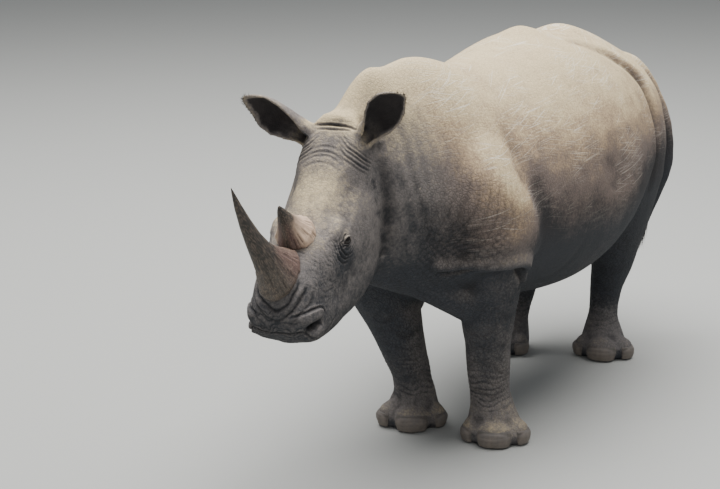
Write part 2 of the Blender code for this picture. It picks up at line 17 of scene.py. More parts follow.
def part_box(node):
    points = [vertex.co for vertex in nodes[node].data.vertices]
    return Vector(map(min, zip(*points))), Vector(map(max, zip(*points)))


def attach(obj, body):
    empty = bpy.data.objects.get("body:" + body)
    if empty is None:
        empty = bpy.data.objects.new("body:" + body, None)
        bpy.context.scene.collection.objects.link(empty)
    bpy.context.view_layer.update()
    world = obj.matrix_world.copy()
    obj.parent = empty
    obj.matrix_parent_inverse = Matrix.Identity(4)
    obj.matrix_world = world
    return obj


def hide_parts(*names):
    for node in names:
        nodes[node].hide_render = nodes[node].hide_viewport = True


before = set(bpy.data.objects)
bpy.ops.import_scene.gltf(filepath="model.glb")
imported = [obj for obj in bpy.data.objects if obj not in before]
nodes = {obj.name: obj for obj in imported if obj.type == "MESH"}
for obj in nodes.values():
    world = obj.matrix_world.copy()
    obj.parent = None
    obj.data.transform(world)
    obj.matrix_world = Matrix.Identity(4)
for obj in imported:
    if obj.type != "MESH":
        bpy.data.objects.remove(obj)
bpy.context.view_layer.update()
rng = np.random.default_rng(11)

# ---- sizes ---------------------------------------------------------------------------------------
HIDE_VOXEL = 0.006
HIDE_TRIANGLES = 190000
SOLE_CLEARANCE = 0.0005     # the skin of the soles stays this far over the ground
HORN_VOXEL = 0.0035
NAIL_VOXEL = 0.0030
EYE_RADIUS = 0.0195

FEET = ["forefoot_left", "forefoot_right", "hind_foot_left", "hind_foot_right"]
TOES = ["inner", "middle", "outer"]
LIMBS = ["foreleg_left", "foreleg_right", "thigh_left", "thigh_right", "hind_leg_left", "hind_leg_right"]
FLESH = ["trunk", "neck", "head", "lower_jaw", "tail", "ear_left", "ear_right"] + LIMBS + FEET


# ---- the head's own frame ------------------------------------------------------------------------
# X runs along the head to the nose, Y to its left and Z out of the brow
HEAD_TURN = (Matrix.Rotation(radians(-85.0), 3, "Z") @ Matrix.Rotation(radians(42.5), 3, "Y")
             @ Matrix.Rotation(radians(1.5), 3, "X"))
EYE_PLACE = (0.452, 0.150, -0.131)


def middle(node):
    low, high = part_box(node)
    return (low + high) / 2


EYES = {side: middle("eye_" + side) for side in ("left", "right")}
HEAD_ORIGIN = (EYES["left"] + EYES["right"]) / 2 - HEAD_TURN @ Vector((EYE_PLACE[0], 0, EYE_PLACE[2]))
HEAD_AXES = np.array(HEAD_TURN)


def to_head(points):
    return (points - np.array(HEAD_ORIGIN)) @ HEAD_AXES


def from_head(points):
    return np.array(points) @ HEAD_AXES.T + np.array(HEAD_ORIGIN)


EYES_IN_HEAD = {side: to_head(np.array(place)) for side, place in EYES.items()}


# which way each ear's cup opens, and its base and tip
EARS = {
    "left": ((0.88, 0.25, 0.25), (0.035, 0.105, -0.055), (-0.063, 0.308, 0.108)),
    "right": ((0.90, 0.15, 0.20), (0.045, -0.105, -0.045), (0.046, -0.322, 0.180)),
}


def ear_line(name):
    """An ear's base, and the way from there to its tip."""
    base, tip = from_head(EARS[name][1:])
    return base, tip - base


# ---- working with pieces -------------------------------------------------------------------------
def choose(*pieces):
    """Select these pieces alone, the first of them active."""
    bpy.ops.object.select_all(action="DESELECT")
    for piece in pieces:
        piece.select_set(True)
    bpy.context.view_layer.objects.active = pieces[0]


def link(piece):
    bpy.context.scene.collection.objects.link(piece)


def twin(piece):
    """A copy of a piece, with a mesh of its own."""
    copy = piece.copy()
    copy.data = piece.data.copy()
    link(copy)
    return copy


def smooth(piece):
    """Shade this piece smooth, and return it."""
    choose(piece)
    bpy.ops.object.shade_smooth()
    return piece


def modify(piece, kind, **settings):
    """Add a modifier and apply it."""
    choose(piece)
    modifier = piece.modifiers.new(kind.lower(), kind)
    for name, value in settings.items():
        setattr(modifier, name, value)
    bpy.ops.object.modifier_apply(modifier=modifier.name)


def solid_copy(name, node_names):
    """One object of whole, merged copies of CAD nodes."""
    copies = []
    for node_name in node_names:
        copy = twin(nodes[node_name])
        copy.parent = None
        for key in list(copy.keys()):
            del copy[key]
        copies.append(copy)
    choose(*copies)
    if len(copies) > 1:
        bpy.ops.object.join()
    piece = bpy.context.view_layer.objects.active
    piece.name = name
    piece.data.materials.clear()
    bpy.ops.object.mode_set(mode="EDIT")
    bpy.ops.mesh.select_all(action="SELECT")
    bpy.ops.mesh.remove_doubles(threshold=0.00001)
    bpy.ops.mesh.normals_make_consistent(inside=False)
    bpy.ops.object.mode_set(mode="OBJECT")
    return piece


def points_of(piece, kind="co"):
    rows = np.empty(len(piece.data.vertices) * 3)
    piece.data.vertices.foreach_get(kind, rows)
    return rows.reshape(-1, 3)


def normals_of(piece):
    return points_of(piece, "normal")


def set_points(piece, points):
    piece.data.vertices.foreach_set("co", points.astype(np.float32).ravel())
    piece.data.update()


def relax(piece, weight, rounds):
    """Even out a surface: each point moves towards its neighbours by its own weight."""
    points = points_of(piece)
    ends = np.empty(len(piece.data.edges) * 2, np.int64)
    piece.data.edges.foreach_get("vertices", ends)
    first, second = ends[0::2], ends[1::2]
    count = np.bincount(ends, minlength=len(points)).astype(float)
    weight = np.broadcast_to(weight, len(points))
    for _ in range(rounds):
        for axis in range(3):
            here = points[:, axis]
            total = (np.bincount(first, here[second], len(points))
                     + np.bincount(second, here[first], len(points)))
            points[:, axis] = here + weight * (total / count - here)
    set_points(piece, points)


def store(piece, name, values):
    """Keep a number for each point, which a material reads."""
    attribute = piece.data.attributes.get(name) or piece.data.attributes.new(name, "FLOAT", "POINT")
    attribute.data.foreach_set("value", np.asarray(values, np.float32))


# ---- shaping functions ---------------------------------------------------------------------------
def unit(value):
    """Held between 0 and 1."""
    return np.clip(value, 0, 1)


def ease(value, low, high):
    """0 below low, 1 above high and a soft step between; low may be the larger one."""
    share = unit((value - low) / (high - low))
    return share * share * (3 - 2 * share)


def hill(distance, width):
    return np.exp(-(distance / width) ** 2)


def noise(points, size, seed=0):
    """Soft random values from -1 to 1 that change over about the given size."""
    grid = points / size + seed * 17.31
    cell = np.floor(grid).astype(np.int64)
    share = grid - cell
    share = share * share * (3 - 2 * share)
    total = 0.0
    for corner in range(8):
        step = np.array([corner & 1, corner >> 1 & 1, corner >> 2 & 1])
        x, y, z = (cell + step).T
        mixed = (x * 374761393 + y * 668265263 + z * 974634777 + seed * 362437) & 0xFFFFFFFF
        mixed = ((mixed ^ (mixed >> 13)) * 1274126177) & 0xFFFFFFFF
        value = ((mixed ^ (mixed >> 16)) & 0xFFFF) / 32767.5 - 1
        total = total + value * np.prod(np.where(step, share, 1 - share), axis=1)
    return total


def ripples(phase):
    """Rounded folds with narrow furrows between them: 0 on a crest and -1 in a furrow."""
    return np.abs(np.sin(pi * phase)) ** 0.55 - 1


def path_distance(points, path):
    """Distance of each point from a line through the path's points, and how far along it lies."""
    best = np.full(len(points), 9.0)
    along = np.zeros(len(points))
    lengths = np.linalg.norm(np.diff(path, axis=0), axis=1)
    for k, (start, end) in enumerate(zip(path[:-1], path[1:])):
        reach = end - start
        share = unit((points - start) @ reach / (reach @ reach))
        distance = np.linalg.norm(points - start - share[:, None] * reach, axis=1)
        nearer = distance < best
        best[nearer] = distance[nearer]
        along[nearer] = ((lengths[:k].sum() + share * lengths[k]) / lengths.sum())[nearer]
    return best, along


def rounded_path(points, steps=6):
    """Catmull-Rom line through a few points."""
    rows = np.array([points[0], *points, points[-1]], float)
    made = []
    for before, here, there, after in zip(rows, rows[1:], rows[2:], rows[3:]):
        for step in range(steps):
            t = step / steps
            made.append(0.5 * (2 * here + (there - before) * t
                               + (2 * before - 5 * here + 4 * there - after) * t ** 2
                               + (3 * here - before - 3 * there + after) * t ** 3))
    return np.array(made + [rows[-1]])


class Relief:
    """Adds folds and furrows to a surface, and remembers how deep they are, for shade painted into the
    creases.
    """

    def __init__(self, piece):
        self.piece = piece
        self.points = points_of(piece)
        self.normals = normals_of(piece)
        self.head = to_head(self.points)
        self.rise = np.zeros(len(self.points))
        self.painted_crease_shade = np.zeros(len(self.points))
        self.shift = np.zeros((len(self.points), 3))
        self.tree = BVHTree.FromPolygons(self.points.tolist(),
                                         [list(p.vertices) for p in piece.data.polygons])

    def shade(self, share):
        """Keep the deeper of two painted shades."""
        self.painted_crease_shade = np.maximum(self.painted_crease_shade, share)

    def settle(self, path):
        """The path laid down on the surface."""
        return np.array([self.tree.find_nearest(Vector(point))[0] for point in path])

    def furrow(self, path, width, depth, lip=0.35):
        """A furrow along a path, with a low lip on either side."""
        path = self.settle(rounded_path(path))
        near = np.linalg.norm(self.points - path.mean(0), axis=1) < np.ptp(path, axis=0).max() + 5 * width
        where = np.nonzero(near)[0]
        distance, along = path_distance(self.points[where], path)
        strength = unit(np.sin(pi * along)) ** 0.5
        dip = hill(distance, width) * strength
        tone = min(1.0, 2.5 * depth / width)
        lips = hill(distance - 1.9 * width, 0.9 * width) * strength
        self.rise[where] += depth * (lip * lips - dip)
        self.painted_crease_shade[where] = np.maximum(self.painted_crease_shade[where], tone * dip)

    def swell(self, path, width, height, taper=False):
        """A rounded ridge, or a broad hollow where the height is below 0; returns its share."""
        path = self.settle(rounded_path(path, 3))
        distance, along = path_distance(self.points, path)
        share = hill(distance, width)
        if taper:
            share = share * np.sin(pi * along) ** 2
        self.rise += height * share
        return share

    def wrinkles(self, phase, depth, mask):
        """A family of furrows where the mask lets them be."""
        where = mask > 0.01
        wave = ripples(phase[where])
        self.rise[where] += depth * mask[where] * (wave + 0.3)
        self.painted_crease_shade[where] = np.maximum(self.painted_crease_shade[where], mask[where] * unit(-wave * 1.3 - 0.35))

    def apply(self):
        set_points(self.piece, self.points + self.normals * self.rise[:, None] + self.shift)
        # the furrow depths are kept as painted shade for the creases
        store(self.piece, "painted_crease_shade", unit(self.painted_crease_shade))


def mirrored(path):
    return [(a, -x, n) for a, x, n in path]


# ---- the hide: one skin from all the nodes of flesh ----------------------------------------------
def in_box(points, node, blend):
    """1 inside a node's box and 0 at the blend distance outside it."""
    low, high = (np.array(corner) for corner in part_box(node))
    outside = np.maximum(np.maximum(low - points, points - high), 0)
    return ease(np.linalg.norm(outside, axis=1), blend, 0)


SMOOTH_ROUNDS = 70
# How far the facets are evened out, as a standard deviation
EVEN_BODY, EVEN_LEG, EVEN_HEAD, EVEN_FINE = 0.026, 0.013, 0.010, 0.0050


def evening(points, voxel, rounds):
    """Weight for each point that evens the body out broadly, and head, feet and ears finely."""
    head = to_head(points)
    reach = np.full(len(points), EVEN_BODY)
    for node_names, blend, amount in ((LIMBS, 0.10, EVEN_LEG), (["tail"], 0.05, EVEN_LEG),
                                      (FEET, 0.03, EVEN_FINE)):
        for node_name in node_names:
            share = in_box(points, node_name, blend)
            reach = reach + share * (np.minimum(amount, reach) - reach)
    share = (ease(head[:, 0], -0.08, 0.02) * ease(np.abs(head[:, 1]), 0.30, 0.20)
             * ease(head[:, 2], -0.68, -0.55))
    reach = reach + share * (np.minimum(EVEN_HEAD, reach) - reach)
    for node_name in ("ear_left", "ear_right"):
        share = in_box(points, node_name, 0.02)
        reach = reach + share * (np.minimum(EVEN_FINE, reach) - reach)
    return np.clip((reach / voxel) ** 2 * 2 / rounds, 0, 0.9)


def make_hide():
    """The eyes are joined in, so that lids close over them before they are opened."""
    hide = solid_copy("hide", FLESH + ["eye_left", "eye_right"])
    modify(hide, "DISPLACE", strength=0.0006, mid_level=0.0)
    modify(hide, "REMESH", mode="VOXEL", voxel_size=HIDE_VOXEL)
    relax(hide, evening(points_of(hide), HIDE_VOXEL, SMOOTH_ROUNDS), SMOOTH_ROUNDS)
    return hide


hide = make_hide()


def refine(piece, places, reach):
    """Split the faces near some places into four, so that finer folds can be formed there."""
    choose(piece)
    points = points_of(piece)
    near = np.zeros(len(points), bool)
    for place in places:
        near |= np.linalg.norm(points - np.array(place), axis=1) < reach
    bpy.ops.object.mode_set(mode="EDIT")
    bpy.ops.mesh.select_all(action="DESELECT")
    bpy.ops.object.mode_set(mode="OBJECT")
    piece.data.vertices.foreach_set("select", near)
    faces = piece.data.polygons
    faces.foreach_set("select", [all(near[v] for v in face.vertices) for face in faces])
    bpy.ops.object.mode_set(mode="EDIT")
    bpy.ops.mesh.select_mode(type="FACE")
    bpy.ops.mesh.subdivide(number_cuts=1, smoothness=0.0)
    bpy.ops.object.mode_set(mode="OBJECT")


refine(hide, from_head([
    (0.80, 0.07, -0.15), (0.80, -0.07, -0.15), (0.70, 0.10, -0.20), (0.70, -0.10, -0.20), (0.08, 0, 0),
    (0.12, 0.13, -0.08), (0.12, -0.13, -0.08)]), 0.12)
refine(hide, EYES.values(), 0.095)
refine(hide, EYES.values(), 0.045)
relax(hide, 0.4, 2)


def cover_eyes(piece, openings=0.0):
    """Lids lie on the ball: no point in front of an eye is nearer to its middle than a lid allows,
    but for those in the opening between the lids."""
    points = points_of(piece)
    for name, place in EYES.items():
        spread = points - np.array(place)
        distance = np.linalg.norm(spread, axis=1)
        outside = ease(np.sign(EYES_IN_HEAD[name][1]) * (spread @ HEAD_AXES[:, 1]), -0.002, 0.006)
        push = np.clip(EYE_RADIUS + LID_THICKNESS - distance, 0, None) * outside * (1 - openings)
        points += spread / np.maximum(distance, 0.001)[:, None] * push[:, None]
    set_points(piece, points)


LID_THICKNESS = 0.0020
cover_eyes(hide)
relax(hide, 0.25, 2)
cover_eyes(hide)

# ---- folds of the head: paths are (along, to the left, up) in the head's frame -------------------
relief = Relief(hide)
along, side, up = relief.head.T
out = np.abs(side)
rough = noise(relief.points, 0.05, 1)
fine = noise(relief.points, 0.018, 2)
on_head = ease(along, -0.02, 0.04) * ease(out, 0.30, 0.24) * ease(up, -0.62, -0.50)

# The roll of skin over the crown and the second fold under it
relief.swell(from_head([
    (0.000, -0.08, 0.0), (0.004, -0.03, 0.02), (0.004, 0.03, 0.024), (0.006, 0.10, 0.01)]), 0.020, 0.006)
relief.furrow(from_head([(0.024, -0.085, -0.01), (0.028, -0.04, 0.01), (0.028, 0.03, 0.012),
                         (0.030, 0.10, -0.005)]), 0.0050, 0.008, lip=0.2)
relief.furrow(from_head([(0.046, -0.065, 0.0), (0.048, 0.0, 0.01), (0.044, 0.08, 0.005)]), 0.0045, 0.003)

for flip in (1, -1):
    def at_head(path):
        return from_head([(a, flip * x, n) for a, x, n in path])

    # Furrows run from the forehead round below each ear, and arches cross the forehead
    for step, depth in ((-0.018, 0.0014), (0.0, 0.0036), (0.015, 0.0020), (0.034, 0.0030), (0.050, 0.0012)):
        relief.furrow(at_head([
            (0.078 + step, 0.046, 0.006), (0.098 + step, 0.066, 0.0), (0.117 + step, 0.091, -0.012),
            (0.124 + step, 0.135, -0.063), (0.108 + step, 0.158, -0.115)]), 0.0045, depth)
    # A deep fold parts the cheek from the neck
    relief.furrow(at_head([
        (0.02, 0.160, -0.09), (0.075, 0.175, -0.145), (0.15, 0.192, -0.225), (0.226, 0.192, -0.32),
        (0.275, 0.180, -0.385), (0.315, 0.16, -0.45)]), 0.030, 0.018, lip=0.05)
    # Cheek muscle, the hollows in front of it and over it, and the rim of the eye's socket
    relief.swell(at_head([(0.28, 0.165, -0.20), (0.36, 0.165, -0.30), (0.42, 0.15, -0.38)]), 0.075, 0.010)
    relief.swell(at_head([(0.52, 0.14, -0.25), (0.62, 0.14, -0.23)]), 0.045, -0.007)
    relief.swell(at_head([(0.24, 0.12, -0.07), (0.36, 0.13, -0.08)]), 0.050, -0.012)
    relief.swell(at_head([(0.41, 0.125, -0.075), (0.475, 0.125, -0.080)]), 0.026, 0.008)
    # Nostril: a slanted opening under a pad, with a full lip behind it
    relief.swell(at_head([
        (0.825, 0.100, -0.120), (0.785, 0.125, -0.138), (0.755, 0.135, -0.160)]), 0.020, 0.009)
    relief.swell(at_head([(0.840, 0.120, -0.196), (0.800, 0.135, -0.215)]), 0.022, 0.009)
    relief.furrow(at_head([(0.846, 0.108, -0.158), (0.826, 0.126, -0.163), (0.800, 0.136, -0.176),
                        (0.778, 0.138, -0.192)]), 0.013, 0.030, lip=0.12)
    relief.furrow(at_head([(0.835, 0.060, -0.098), (0.800, 0.105, -0.110), (0.765, 0.130, -0.130),
                        (0.735, 0.138, -0.165), (0.740, 0.138, -0.200)]), 0.005, 0.006)
    # Creases under and ahead of the eye
    for step, depth in ((0.0, 0.0050), (0.017, 0.0045), (0.036, 0.0030)):
        relief.furrow(at_head([
            (0.480 + step, 0.145, -0.098 - step / 2), (0.500 + step, 0.152, -0.130),
            (0.496 + step, 0.155, -0.168), (0.466 + step, 0.158, -0.190 - step / 3)]), 0.0042, depth)

for step, depth in ((0.0, 0.0014), (0.023, 0.0020), (0.041, 0.0012), (0.070, 0.0011)):
    relief.furrow(from_head([
        (0.152 + step, -0.100, -0.024), (0.128 + step, -0.05, -0.005), (0.119 + step, -0.01, 0.0),
        (0.123 + step, 0.03, -0.002), (0.148 + step, 0.086, -0.016)]), 0.005, depth)

# Mouth: from behind one nostril round the square front to the other
mouth_side = [(0.872, 0.05, -0.154), (0.855, 0.105, -0.160), (0.838, 0.132, -0.215), (0.800, 0.134, -0.250),
              (0.750, 0.130, -0.268), (0.690, 0.130, -0.278)]
mouth = mirrored(mouth_side)[::-1] + [(0.874, 0.0, -0.154)] + mouth_side
relief.furrow(from_head(mouth), 0.0050, 0.007, lip=0.1)

# Folds of skin that ring the front of the horn
horn_ring = np.hypot((along - 0.695) / 0.114, side / 0.080)
low_ring = ease(up, -0.15, -0.08) * ease(along, 0.69, 0.75) * on_head
for place, width, depth in ((1.10, 0.040, 0.0065), (1.33, 0.040, 0.0050), (1.58, 0.040, 0.0030)):
    ring = hill(horn_ring - place + 0.10 * rough, width) * low_ring
    relief.rise -= depth * ring
    # painted shade in the furrows of the rings
    relief.shade(ring)
relief.rise += 0.007 * hill(horn_ring - 1.24, 0.08) * low_ring

# Wrinkles of the lips arch over the nostrils; others cross between the eyes and the horns
pad = np.hypot((along - 0.800) / 0.06, (out - 0.13) / 0.05)
lips = (ease(along, 0.70, 0.78) * ease(up, -0.34, -0.28) * ease(up, -0.055, -0.085)
        * on_head * ease(pad, 0.5, 1.0))
relief.wrinkles((up + 0.35 * (along - 0.8)) / 0.0165 + 1.1 * rough + 0.35 * fine + 0.35 * ease(pad, 1.6, 0.9),
                0.0044, lips * unit(0.8 + 0.5 * rough))
for place in EYES_IN_HEAD.values():
    spread = relief.head - place
    away = np.hypot(spread[:, 0], 1.15 * spread[:, 2])
    ring = ease(away, 0.030, 0.040) * ease(away, 0.095, 0.055) * ease(np.abs(spread[:, 1]), 0.09, 0.06)
    toward_nose = 0.25 + 0.75 * ease(spread[:, 0] - 0.4 * spread[:, 2], -0.01, 0.03)
    relief.wrinkles(away / 0.0135 + 0.9 * rough + 0.45 * fine, 0.0024, ring * toward_nose)
saddle = ease(np.abs(along - 0.605), 0.04, 0.015) * ease(up, -0.10, -0.05) * on_head
relief.wrinkles(along / 0.016 + 0.6 * rough, 0.0022, saddle)
bridge = (ease(along, 0.44, 0.52) * ease(along, 0.76, 0.66)
          * ease(up, -0.26, -0.16) * ease(up, -0.045, -0.075) * on_head)
relief.wrinkles((along + 0.6 * up) / 0.020 + 1.3 * rough + 0.5 * fine, 0.0024, bridge * unit(0.55 + rough))
relief.wrinkles((along - 0.9 * up) / 0.024 + 1.3 * rough - 0.5 * fine, 0.0018, bridge * unit(0.45 - rough))
brow = ease(along, 0.03, 0.07) * ease(along, 0.27, 0.14) * ease(up, -0.08, -0.03) * on_head
relief.wrinkles((along - 3.2 * side ** 2) / 0.015 + 1.1 * rough + 0.6 * fine, 0.0009,
                brow * unit(0.6 + rough))
relief.rise += on_head * (0.0018 * rough + 0.0009 * fine)

# ---- eyelids: an almond opening on a ball that the hide covers -----------------------------------
GAZE = Vector((0.30, 1.0, 0.20)).normalized()
LID_LONG, LID_HIGH, LID_LOW = 0.0205, 0.0130, 0.0115
LID_TILT = 0.35             # the front corner lies higher on the head than the rear one
eye_openings = np.zeros(len(relief.points))
for name, place in EYES_IN_HEAD.items():
    flip = 1 if name == "left" else -1
    outward = np.array(GAZE) * (1, flip, 1)
    length = np.array([1.0, 0.0, LID_TILT]) - outward * (np.array([1.0, 0.0, LID_TILT]) @ outward)
    length /= np.linalg.norm(length)
    height = np.cross(outward, length)
    height *= np.sign(height[2])
    spread = relief.head - place
    u, v, w = spread @ length, spread @ height, spread @ outward
    front = ease(w, 0.0, 0.008) * ease(np.hypot(u, v), 0.05, 0.04)
    arch = unit(1 - (u / LID_LONG) ** 2)
    edge = np.where(v > 0, v - LID_HIGH * arch, -v - LID_LOW * arch)
    edge = np.where(np.abs(u) > LID_LONG, np.maximum(edge, np.abs(u) - LID_LONG), edge)
    opening = ease(edge, 0.0012, -0.0012) * front
    relief.rise -= 0.0095 * opening
    relief.rise += front * (0.0034 * hill(edge - 0.0035, 0.0030) - 0.0034 * hill(edge - 0.0105, 0.0026)
                            + 0.0026 * hill(edge - 0.0155, 0.0035)) * (1 - opening)
    # painted shade along the lid crease and in the opening
    relief.shade(front * np.maximum(hill(edge - 0.0105, 0.0025), ease(edge, 0.003, 0.0)))
    eye_openings = np.maximum(eye_openings, opening)

# ---- folds of the body: paths are in the frame, left side first ----------------------------------
x, y, z = relief.points.T
broad = noise(relief.points, 0.22, 3)
mid = noise(relief.points, 0.09, 4)
off_head = 1 - on_head
ELBOW_FOLD = [(0.150, -0.620, 0.860), (0.208, -0.565, 0.852), (0.300, -0.500, 0.854), (0.357, -0.445, 0.856),
              (0.394, -0.370, 0.846), (0.390, -0.300, 0.818), (0.370, -0.262, 0.775), (0.350, -0.250, 0.720)]
RUMP_GROOVE = [(0.150, 0.660, 1.610), (0.177, 0.760, 1.590), (0.232, 0.850, 1.546), (0.300, 0.990, 1.474),
               (0.350, 1.085, 1.392), (0.400, 1.105, 1.300), (0.440, 1.100, 1.200), (0.458, 1.090, 1.080),
               (0.450, 1.095, 0.960), (0.425, 1.095, 0.840)]
ELBOW_SHIFT = {1: 0.0, -1: -0.10}       # the right elbow's fold lies ahead of the left one's


def on_side(flip, path, shift=(0, 0, 0)):
    """A path moved by the shift: as it is on the left, where flip is 1, and mirrored on the right."""
    return [(flip * (px + shift[0]), py + shift[1], pz + shift[2]) for px, py, pz in path]


for flip, back in ELBOW_SHIFT.items():
    body = partial(on_side, flip)
    # The fold over the elbow: a rounded shelf of hide that hangs over a deep line
    shelf = relief.swell(body(ELBOW_FOLD, (0, back, 0.030)), 0.030, 0.021)
    relief.shift[:, 2] -= 0.014 * shelf
    relief.swell(body(ELBOW_FOLD[1:-2], (0, back, 0.095)), 0.060, 0.010, taper=True)
    relief.furrow(body(ELBOW_FOLD, (0, back, -0.032)), 0.017, 0.024, lip=0.0)
    relief.furrow(body(ELBOW_FOLD, (0, back, -0.008)), 0.012, 0.007, lip=0.0)
    # The valley behind the shoulder, and the edge of the shoulder ahead of it
    relief.swell(body([(0.22, -0.22, 1.48), (0.330, -0.30, 1.31), (0.392, -0.31, 1.19), (0.435, -0.245, 1.08),
                       (0.445, -0.215, 0.96), (0.43, -0.21, 0.82)]), 0.070, -0.022, taper=True)
    relief.swell(body([(0.321, -0.46, 1.317), (0.397, -0.49, 1.185), (0.430, -0.45, 1.075),
                       (0.440, -0.41, 0.963), (0.42, -0.40, 0.89)]), 0.060, 0.006, taper=True)
    # The groove of the rump beside the root of the tail, with a ridge behind it
    relief.swell(body(RUMP_GROOVE, (0.0, 0.075, 0.02)), 0.050, 0.018, taper=True)
    relief.furrow(body(RUMP_GROOVE[:4]), 0.028, 0.006, lip=0.15)
    relief.furrow(body(RUMP_GROOVE[2:]), 0.026, 0.014, lip=0.15)
    # Soft folds of the neck
    for step, depth in ((-0.075, 0.0015), (0.0, 0.0035), (0.060, 0.002), (0.120, 0.0015)):
        relief.furrow(body([
            (0.050, -0.80 + step, 1.50), (0.090, -0.77 + step, 1.40), (0.127, -0.762 + step, 1.238),
            (0.171, -0.697 + step, 0.986), (0.213, -0.60 + step, 0.86)]), 0.020, depth)
    # The fold from knee to belly, and the hollow of the flank in front of the haunch
    relief.furrow(body([(0.321, 0.051, 0.655), (0.376, 0.141, 0.686), (0.432, 0.169, 0.755),
                        (0.46, 0.20, 0.85)]), 0.030, 0.003)
    relief.swell(body([(0.42, 0.40, 1.25), (0.47, 0.42, 1.08), (0.48, 0.42, 0.92)]), 0.12, -0.014, taper=True)
    # Bony points of the hip
    relief.swell(body([(0.0, 0.50, 1.67), (0.06, 0.55, 1.655)]), 0.065, 0.012)
    relief.swell(body([(0.0, 0.90, 1.65), (0.06, 0.90, 1.635)]), 0.080, 0.008)

# Fine folds down the neck and round the brisket, and across the wrists and the hocks
neck = off_head * ease(y, -0.36, -0.52) * ease(z, 1.60, 1.45) * ease(z, 0.55, 0.70)
relief.wrinkles((y - 0.25 * z) / 0.034 + 1.2 * broad + 0.5 * mid, 0.0006, neck * unit(0.5 + 0.8 * broad))
brisket = off_head * ease(y, -0.42, -0.54) * ease(z, 1.08, 0.92) * ease(z, 0.55, 0.66)
for tilt, seed in ((0.8, 1), (-0.8, -1)):
    relief.wrinkles((z + tilt * y) / 0.030 + 0.9 * broad * seed + 0.5 * mid, 0.0020,
                    brisket * unit(0.7 + 0.6 * mid))
for node_names, low, high, depth in ((("foreleg_left", "foreleg_right", "forefoot_left", "forefoot_right"),
                                      0.16, 0.33, 0.0034),
                                     (("hind_leg_left", "hind_leg_right"), 0.14, 0.24, 0.0026)):
    for node_name in node_names:
        here = (in_box(relief.points, node_name, 0.01) * ease(z, low - 0.03, low + 0.02)
                * ease(z, high + 0.05, high - 0.03))
        relief.wrinkles(z / 0.024 + 0.8 * mid + 0.4 * rough, depth, here * unit(0.5 + 0.7 * mid))
legs = off_head * ease(z, 0.70, 0.55)
relief.wrinkles(z / 0.085 + 1.6 * broad + 0.9 * mid, 0.0010, legs * ease(z, 0.12, 0.2) * unit(0.4 + mid))
relief.rise += off_head * (0.0028 * broad + 0.0018 * mid + 0.0007 * rough)
# The soles stay flat on the ground
relief.rise *= 1 - ease(z, 0.020, 0.004)
relief.apply()
cover_eyes(hide, eye_openings)

triangles = sum(len(face.vertices) - 2 for face in hide.data.polygons)
modify(hide, "DECIMATE", ratio=min(1.0, HIDE_TRIANGLES / triangles), use_collapse_triangulate=True)
points = points_of(hide)
points[:, 2] = np.maximum(points[:, 2], SOLE_CLEARANCE)
set_points(hide, points)
smooth(hide)


# ---- what colours the hide: mud, shade and wear, kept for each point -----------------------------
def hollows(piece, rounds):
    """How far each point lies in a hollow (above 0) or on a crest (below 0), in metres."""
    points, normals = points_of(piece), normals_of(piece)
    relax(piece, 0.5, rounds)
    depth = ((points_of(piece) - points) * normals).sum(1)
    set_points(piece, points)
    return depth


points, normals = points_of(hide), normals_of(hide)
x, y, z = points.T
head = to_head(points)
along, side, up = head.T
out = np.abs(side)
on_head = ease(along, -0.02, 0.04) * ease(out, 0.30, 0.24) * ease(up, -0.62, -0.50)
broad, mid, rough = noise(points, 0.30, 5), noise(points, 0.11, 6), noise(points, 0.04, 7)
cavity = np.clip(hollows(hide, 5) / 0.0015, -1, 1)
wide_cavity = np.clip(hollows(hide, 40) / 0.006, -1, 1)
# Dry mud lies where it is thrown or rolled on: thick on the back, thin down the sides, none below; painted
# highlights and painted shade are added to the same amount
facing_up = ease(normals[:, 2], -0.60, 0.80)
mud = 0.93 * facing_up * (0.32 + 0.68 * ease(z, 0.35, 1.45)) + 0.05 * broad + 0.05 * mid + 0.03 * rough
mud = mud * (1 - 0.30 * on_head * ease(along, 0.0, 0.1)) * (1 - 0.42 * on_head * ease(along, 0.50, 0.70))
# painted highlight on the lower bulge of each shoulder
mud += 0.31 * ease(np.abs(x), 0.22, 0.36) * hill(np.hypot(y + 0.50, (z - 0.97) * 0.9), 0.20)
# painted highlight along the top of each elbow's lip
for flip, back in ELBOW_SHIFT.items():
    lip = rounded_path(on_side(flip, ELBOW_FOLD, (0, back, 0.035)))
    mud += 0.30 * hill(path_distance(points, lip)[0], 0.045) * ease(normals[:, 2], -0.75, -0.25)
mud += (0.10 * ease(z, 0.42, 0.12) + 0.08 * ease(z, 0.8, 0.5)) * (1 - 0.6 * ease(y, 0.3, 0.8))
# painted shade over the haunches
mud -= 0.25 * ease(y, 0.45, 0.9) * ease(z, 1.25, 0.95) * ease(z, 0.2, 0.4)
# painted shade in the valley behind each shoulder
mud -= 0.24 * hill(np.hypot(y + 0.20, (z - 1.0) * 0.45), 0.12) * ease(np.abs(x), 0.2, 0.3)
mud += 0.10 * on_head * ease(normals[:, 2], 0.4, 0.0)
mud -= 0.10 * on_head * ease(along, 0.25, 0.15)
mud += 0.20 * hill(np.hypot(np.hypot(along - 0.30, side * 0.9), (up + 0.04) * 0.6), 0.10)
neck = (1 - on_head) * ease(y, -0.40, -0.60) * ease(z, 1.50, 1.20)
# the upper neck is darker: painted shade behind the cheek, and darker skin
mud = mud * (1 - 0.25 * neck)
mud += 0.10 * ease(y, 0.3, 0.0) * ease(z, 0.60, 0.40) * (1 - 0.9 * ease(x, 0.0, -0.1))
# painted shade: the chest between the forelegs, the low parts and the surfaces facing down go darker and
# cooler
chest = (1 - on_head) * ease(y, -0.30, -0.42) * ease(z, 0.98, 0.82) * ease(normals[:, 2], 0.25, -0.35)
painted_low_shade = (0.75 * chest + ease(z, 0.72, 0.42) * (0.20 + 0.26 * ease(y, -0.1, 0.3))
         + 0.42 * ease(normals[:, 2], 0.0, -0.7) * (1 - on_head))
